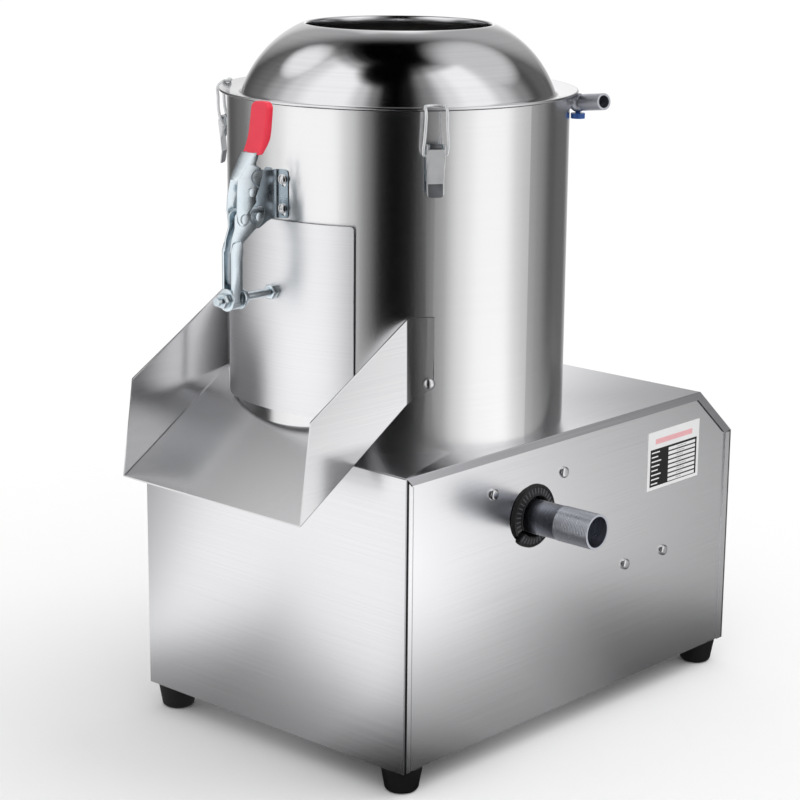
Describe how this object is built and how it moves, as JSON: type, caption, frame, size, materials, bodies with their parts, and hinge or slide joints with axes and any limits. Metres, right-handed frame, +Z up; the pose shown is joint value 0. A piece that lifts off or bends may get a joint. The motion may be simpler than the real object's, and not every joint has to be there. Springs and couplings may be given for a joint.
{
  "type": "electric potato peeler",
  "caption": "Bench machine that peels potatoes in an upright abrasive drum on a steel cabinet, with a spinning disc, clamped discharge door, chute, domed lid, latches and drain",
  "frame": {"origin": "on the floor, at the centre of the machine's footprint, pipe and chute included", "axes": "+Z up, front with the chute towards -Y, drain pipe towards +X"},
  "size_m": [0.443, 0.608, 0.6922],
  "materials": {
    "satin_steel": "satin sheet stainless steel",
    "barrel_steel": "polished rolled stainless steel",
    "door_steel": "satin stainless steel",
    "mirror_steel": "mirror polished stainless steel",
    "zinc_plate": "bright zinc plated steel",
    "pipe_steel": "turned stainless steel",
    "black_rubber": "moulded black rubber",
    "abrasive_grit": "bonded abrasive grit",
    "cast_aluminium": "cast aluminium",
    "shaft_steel": "turned steel",
    "cast_iron": "painted cast iron",
    "painted_steel": "dark painted steel",
    "can_metal": "drawn can",
    "plate_print": "printed plate",
    "red_grip": "soft red dipped grip",
    "blue_knob": "moulded plastic",
    "switch_grey": "moulded plastic",
    "start_green": "moulded plastic",
    "stop_red": "moulded plastic",
    "gland_plastic": "moulded nylon"
  },
  "bodies": {
    "machine": {"wrap_shell": "satin_steel", "side_panel_right": "satin_steel", "side_panel_left": "satin_steel", "corner_posts": "satin_steel", "base_pan": "satin_steel", "feet": "black_rubber", "side_screws": "zinc_plate", "data_plate": "plate_print", "barrel_shell": "barrel_steel", "barrel_floor": "barrel_steel", "abrasive_liner": "abrasive_grit", "lid": "mirror_steel", "lid_gasket": "black_rubber", "shaft_seal": "black_rubber", "support_beam": "painted_steel", "bearing_housing": "cast_iron", "shaft_bearings": "shaft_steel", "drive_belt": "black_rubber", "motor_body": "painted_steel", "motor_bracket": "painted_steel", "capacitor": "can_metal", "frame_bolts": "zinc_plate", "drain_pipe": "pipe_steel", "drain_ring": "black_rubber", "chute": "satin_steel", "barrel_screws": "zinc_plate", "clamp_base": "zinc_plate", "clamp_rivets": "zinc_plate", "latch_bases": "zinc_plate", "latch_rivets": "zinc_plate", "inlet_elbow": "pipe_steel", "inlet_nozzle": "pipe_steel", "switch_box": "switch_grey", "cord_gland": "gland_plastic"},
    "rotor": {"drive_shaft": "shaft_steel", "driven_pulley": "cast_iron", "turntable": "cast_aluminium", "grit_plate": "abrasive_grit", "disc_cap": "shaft_steel"},
    "motor_rotor": {"motor_shaft": "shaft_steel", "motor_pulley": "cast_iron"},
    "door_arm": {"clamp_arm": "zinc_plate", "arm_rivets": "zinc_plate", "spindle_bolt": "zinc_plate", "spindle_nuts": "zinc_plate", "spindle_washers": "zinc_plate", "door": "door_steel", "door_seal": "black_rubber"},
    "lever": {"clamp_lever": "zinc_plate", "red_grip": "red_grip"},
    "link": {"clamp_link": "zinc_plate"},
    "start": {"start_button": "start_green"},
    "stop": {"stop_button": "stop_red"},
    "tap": {"inlet_knob": "blue_knob"},
    "latch_right": {"latch_lever_right": "zinc_plate"},
    "wire_right": {"latch_wire_right": "zinc_plate"},
    "latch_back": {"latch_lever_back": "zinc_plate"},
    "wire_back": {"latch_wire_back": "zinc_plate"},
    "latch_left": {"latch_lever_left": "zinc_plate"},
    "wire_left": {"latch_wire_left": "zinc_plate"}
  },
  "joints": [
    {"name": "disc_spin", "type": "hinge", "parent": "machine", "child": "rotor", "pos_m": [-0.0335, -0.049, 0.322], "axis": [0, 0, 1], "continuous": true},
    {"name": "motor_spin", "type": "hinge", "parent": "machine", "child": "motor_rotor", "pos_m": [-0.0335, 0.141, 0.118], "axis": [0, 0, 1], "continuous": true},
    {"name": "clamp_arm_hinge", "type": "hinge", "parent": "machine", "child": "door_arm", "pos_m": [-0.0335, -0.243, 0.527], "axis": [-1, 0, 0], "range_deg": [0, 65]},
    {"name": "clamp_lever_hinge", "type": "hinge", "parent": "door_arm", "child": "lever", "pos_m": [-0.0335, -0.2625, 0.527], "axis": [1, 0, 0], "range_deg": [0, 117]},
    {"name": "clamp_link_hinge", "type": "hinge", "parent": "machine", "child": "link", "pos_m": [-0.0335, -0.247, 0.55], "axis": [-1, 0, 0], "range_deg": [0, 91]},
    {"name": "latch_right_hinge", "type": "hinge", "parent": "machine", "child": "latch_right", "pos_m": [0.10619, -0.15274, 0.595], "axis": [-0.5962, -0.8028, 0], "range_deg": [0, 140]},
    {"name": "wire_right_hinge", "type": "hinge", "parent": "latch_right", "child": "wire_right", "pos_m": [0.10539, -0.15215, 0.588], "axis": [0.5962, 0.8028, 0], "range_deg": [0, 154]},
    {"name": "latch_back_hinge", "type": "hinge", "parent": "machine", "child": "latch_back", "pos_m": [-0.02348, 0.12471, 0.595], "axis": [0.9983, -0.0576, 0], "range_deg": [0, 140]},
    {"name": "wire_back_hinge", "type": "hinge", "parent": "latch_back", "child": "wire_back", "pos_m": [-0.02354, 0.12371, 0.588], "axis": [-0.9983, 0.0576, 0], "range_deg": [0, 154]},
    {"name": "latch_left_hinge", "type": "hinge", "parent": "machine", "child": "latch_left", "pos_m": [-0.18419, -0.136, 0.595], "axis": [-0.5, 0.866, 0], "range_deg": [0, 140]},
    {"name": "wire_left_hinge", "type": "hinge", "parent": "latch_left", "child": "wire_left", "pos_m": [-0.18332, -0.1355, 0.588], "axis": [0.5, -0.866, 0], "range_deg": [0, 154]},
    {"name": "start_press", "type": "slide", "parent": "machine", "child": "start", "axis": [1, 0, 0], "range_m": [0, 0.004], "stiffness_N_per_m": 250},
    {"name": "stop_press", "type": "slide", "parent": "machine", "child": "stop", "axis": [1, 0, 0], "range_m": [0, 0.004], "stiffness_N_per_m": 250},
    {"name": "tap_turn", "type": "hinge", "parent": "machine", "child": "tap", "pos_m": [0.09785, 0.06358, 0.605], "axis": [0, 0, 1], "range_deg": [0, 90]}
  ],
  "couplings": [
    {"joint": "motor_spin", "follows": "disc_spin", "ratio": 2.8571},
    {"joint": "clamp_lever_hinge", "follows": "clamp_arm_hinge", "ratio": 1.8},
    {"joint": "clamp_link_hinge", "follows": "clamp_arm_hinge", "ratio": 1.4},
    {"joint": "wire_right_hinge", "follows": "latch_right_hinge", "ratio": 1.1},
    {"joint": "wire_back_hinge", "follows": "latch_back_hinge", "ratio": 1.1},
    {"joint": "wire_left_hinge", "follows": "latch_left_hinge", "ratio": 1.1}
  ]
}
